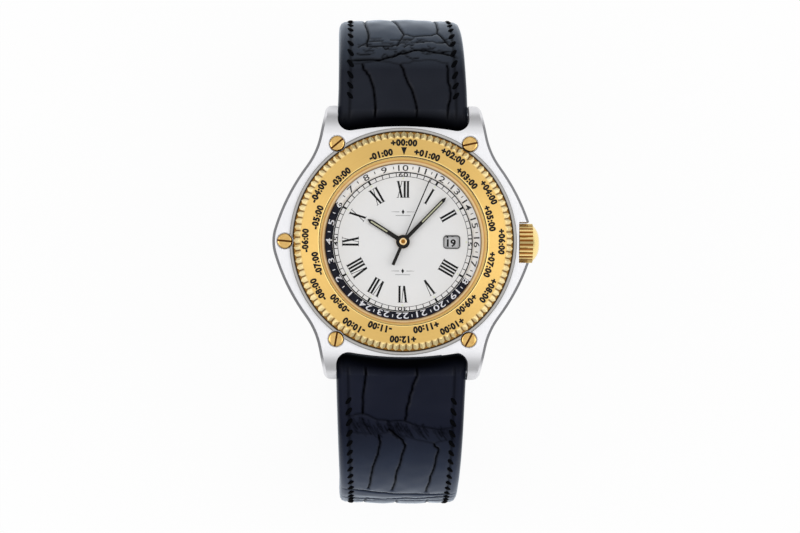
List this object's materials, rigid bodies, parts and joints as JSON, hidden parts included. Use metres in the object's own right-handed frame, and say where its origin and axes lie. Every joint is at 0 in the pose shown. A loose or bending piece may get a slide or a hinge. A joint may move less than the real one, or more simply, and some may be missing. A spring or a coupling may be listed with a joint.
{
  "type": "world time watch",
  "caption": "Wristwatch with a fluted turning bezel of time offsets, an inner 24 hour ring, a date window and a crocodile leather strap with pin buckle, shown unbuckled.",
  "frame": {"origin": "centre of the case back's outer face, which lies on the wrist", "axes": "+Z out through the dial, +Y towards 12 o'clock, +X towards the crown at 3 o'clock"},
  "size_m": [0.0394, 0.0735, 0.0625],
  "materials": {
    "steel": "satin and polished",
    "gold": "brushed gold",
    "rose_gold": "polished rose gold",
    "sapphire": "clear, polished",
    "gasket_rubber": "matt",
    "dial_silver": "silvery, fine matt",
    "ring_lacquer": "two-tone lacquer",
    "date_white": "matt",
    "hand_black": "gloss black-brown",
    "lume": "pale luminous filling",
    "plate_metal": "plated, grained",
    "wheel_brass": "satin",
    "ruby": "polished",
    "spring_steel": "blued",
    "leather": "crocodile grain, semi-gloss"
  },
  "bodies": {
    "case": {"case_middle": "steel", "case_back": "steel", "case_gaskets": "gasket_rubber", "case_screws": "gold", "crystal": "sapphire", "flange_ring": "rose_gold", "bezel_seat_ring": "steel", "bezel_springs": "spring_steel", "crown_tube": "steel", "main_plate": "plate_metal", "barrel_bridge": "plate_metal", "train_bridge": "plate_metal", "balance_cock": "plate_metal", "bridge_screws": "steel", "jewels": "ruby", "movement_ring": "plate_metal", "module_plate": "plate_metal", "date_jumper": "steel", "dial": "dial_silver", "date_window_frame": "steel", "rotor_bearing": "steel", "spring_bars": "steel"},
    "bezel_turning": {"bezel": "gold"},
    "crown_seal_carrier": {"crown_seal": "gasket_rubber"},
    "crown_and_stem": {"crown": "gold", "winding_stem": "steel"},
    "winding_pinion": {"winding_pinion": "steel"},
    "setting_yoke": {"setting_yoke": "steel"},
    "sliding_pinion": {"sliding_pinion": "steel"},
    "crown_wheel": {"crown_wheel": "steel"},
    "ratchet_wheel": {"ratchet_wheel": "steel"},
    "barrel": {"barrel_drum": "wheel_brass", "mainspring": "spring_steel"},
    "center_wheel": {"center_wheel": "wheel_brass"},
    "third_wheel": {"third_wheel": "wheel_brass"},
    "fourth_wheel": {"fourth_wheel": "wheel_brass", "seconds_hand": "hand_black", "hand_cap": "gold"},
    "escape_wheel": {"escape_wheel": "steel"},
    "pallet_fork": {"pallet_fork": "steel"},
    "balance": {"balance_wheel": "wheel_brass", "hairspring": "spring_steel"},
    "rotor": {"rotor": "plate_metal"},
    "date_disc": {"date_disc": "date_white"},
    "minute_hand_and_cannon": {"cannon_pinion": "steel", "minute_hand": "hand_black", "minute_hand_lume": "lume"},
    "minute_wheel": {"minute_wheel": "wheel_brass"},
    "hour_hand_and_wheel": {"hour_wheel": "wheel_brass", "hour_hand": "hand_black", "hour_hand_lume": "lume"},
    "ring_idler": {"ring_idler": "wheel_brass"},
    "hour24_ring": {"hour24_ring": "ring_lacquer"},
    "strap_12_half": {"strap_12": "leather", "buckle_bar": "steel", "fixed_keeper": "leather"},
    "strap_6_half": {"strap_6": "leather"},
    "buckle_frame": {"buckle_frame": "steel"},
    "buckle_tongue": {"buckle_tongue": "steel"},
    "free_keeper": {"free_keeper": "leather"}
  },
  "joints": [
    {"name": "bezel_turn", "type": "hinge", "parent": "case", "child": "bezel_turning", "pos_m": [0, 0, 0.0082], "axis": [0, 0, 1], "continuous": true},
    {"name": "crown_pull", "type": "slide", "parent": "case", "child": "crown_seal_carrier", "axis": [1, 0, 0], "range_m": [0, 0.0012]},
    {"name": "crown_turn", "type": "hinge", "parent": "crown_seal_carrier", "child": "crown_and_stem", "pos_m": [0.0172, 0, 0.00385], "axis": [1, 0, 0], "continuous": true},
    {"name": "winding_pinion_turn", "type": "hinge", "parent": "case", "child": "winding_pinion", "pos_m": [0.0172, 0, 0.00385], "axis": [1, 0, 0], "continuous": true},
    {"name": "yoke_slide", "type": "slide", "parent": "case", "child": "setting_yoke", "axis": [1, 0, 0], "range_m": [-0.0008, 0]},
    {"name": "sliding_pinion_turn", "type": "hinge", "parent": "setting_yoke", "child": "sliding_pinion", "pos_m": [0.0172, 0, 0.00385], "axis": [1, 0, 0], "continuous": true},
    {"name": "crown_wheel_turn", "type": "hinge", "parent": "case", "child": "crown_wheel", "pos_m": [0.00584, 0, 0.0016], "axis": [0, 0, 1], "continuous": true},
    {"name": "ratchet_wheel_turn", "type": "hinge", "parent": "case", "child": "ratchet_wheel", "pos_m": [0.00163, 0.00609, 0.0016], "axis": [0, 0, 1], "continuous": true},
    {"name": "seconds_hand_turn", "type": "hinge", "parent": "case", "child": "fourth_wheel", "pos_m": [0, 0, 0.0025], "axis": [0, 0, 1], "continuous": true},
    {"name": "third_wheel_turn", "type": "hinge", "parent": "case", "child": "third_wheel", "pos_m": [-0.00369, -0.00258, 0.0028], "axis": [0, 0, 1], "continuous": true},
    {"name": "center_wheel_turn", "type": "hinge", "parent": "case", "child": "center_wheel", "pos_m": [0, 0, 0.00315], "axis": [0, 0, 1], "continuous": true},
    {"name": "barrel_turn", "type": "hinge", "parent": "case", "child": "barrel", "pos_m": [0.00163, 0.00609, 0.00342], "axis": [0, 0, 1], "continuous": true},
    {"name": "escape_wheel_turn", "type": "hinge", "parent": "case", "child": "escape_wheel", "pos_m": [0.00349, -0.00292, 0.00285], "axis": [0, 0, 1], "continuous": true},
    {"name": "pallet_fork_swing", "type": "hinge", "parent": "case", "child": "pallet_fork", "pos_m": [0.00433, -0.00549, 0.00285], "axis": [0, 0, 1], "range_deg": [-5, 5]},
    {"name": "balance_swing", "type": "hinge", "parent": "case", "child": "balance", "pos_m": [0.0048, -0.0069, 0.00263], "axis": [0, 0, 1], "range_deg": [-270, 270], "stiffness_Nm_per_rad": 0.00000001},
    {"name": "rotor_turn", "type": "hinge", "parent": "case", "child": "rotor", "pos_m": [0, 0, 0.00112], "axis": [0, 0, 1], "continuous": true},
    {"name": "date_disc_turn", "type": "hinge", "parent": "case", "child": "date_disc", "pos_m": [0, 0, 0.00554], "axis": [0, 0, 1], "continuous": true},
    {"name": "minute_hand_turn", "type": "hinge", "parent": "case", "child": "minute_hand_and_cannon", "pos_m": [0, 0, 0.00469], "axis": [0, 0, 1], "continuous": true},
    {"name": "minute_wheel_turn", "type": "hinge", "parent": "case", "child": "minute_wheel", "pos_m": [-0.00338, -0.00123, 0.00471], "axis": [0, 0, 1], "continuous": true},
    {"name": "hour_hand_turn", "type": "hinge", "parent": "case", "child": "hour_hand_and_wheel", "pos_m": [0, 0, 0.00506], "axis": [0, 0, 1], "continuous": true},
    {"name": "ring_idler_turn", "type": "hinge", "parent": "case", "child": "ring_idler", "pos_m": [0, 0.00713, 0.0062], "axis": [0, 0, 1], "continuous": true},
    {"name": "hour24_ring_turn", "type": "hinge", "parent": "case", "child": "hour24_ring", "pos_m": [0, 0, 0.0064], "axis": [0, 0, 1], "continuous": true},
    {"name": "strap_12_swing", "type": "hinge", "parent": "case", "child": "strap_12_half", "pos_m": [0, 0.0191, 0.0022], "axis": [1, 0, 0], "range_deg": [0, 60]},
    {"name": "strap_6_swing", "type": "hinge", "parent": "case", "child": "strap_6_half", "pos_m": [0, -0.0191, 0.0022], "axis": [-1, 0, 0], "range_deg": [0, 60]},
    {"name": "buckle_swing", "type": "hinge", "parent": "strap_12_half", "child": "buckle_frame", "pos_m": [0, -0.00169, -0.03801], "axis": [1, 0, 0], "range_deg": [-70, 40]},
    {"name": "tongue_swing", "type": "hinge", "parent": "buckle_frame", "child": "buckle_tongue", "pos_m": [0, -0.00169, -0.03801], "axis": [1, 0, 0], "range_deg": [0, 50]},
    {"name": "free_keeper_slide", "type": "slide", "parent": "strap_12_half", "child": "free_keeper", "axis": [0, 1, 0], "range_m": [-0.0018, 0.0006]}
  ],
  "couplings": [
    {"joint": "winding_pinion_turn", "follows": "crown_turn", "ratio": 1},
    {"joint": "sliding_pinion_turn", "follows": "crown_turn", "ratio": 1},
    {"joint": "crown_wheel_turn", "follows": "crown_turn", "ratio": 0.58333},
    {"joint": "ratchet_wheel_turn", "follows": "crown_turn", "ratio": -0.28},
    {"joint": "yoke_slide", "follows": "crown_pull", "ratio": -0.66667},
    {"joint": "third_wheel_turn", "follows": "seconds_hand_turn", "ratio": -0.13333},
    {"joint": "center_wheel_turn", "follows": "seconds_hand_turn", "ratio": 0.016667},
    {"joint": "barrel_turn", "follows": "seconds_hand_turn", "ratio": -0.0020833},
    {"joint": "escape_wheel_turn", "follows": "seconds_hand_turn", "ratio": -12},
    {"joint": "minute_wheel_turn", "follows": "minute_hand_turn", "ratio": -0.33333},
    {"joint": "hour_hand_turn", "follows": "minute_hand_turn", "ratio": 0.083333},
    {"joint": "ring_idler_turn", "follows": "minute_hand_turn", "ratio": -0.16667},
    {"joint": "hour24_ring_turn", "follows": "minute_hand_turn", "ratio": -0.041667}
  ]
}
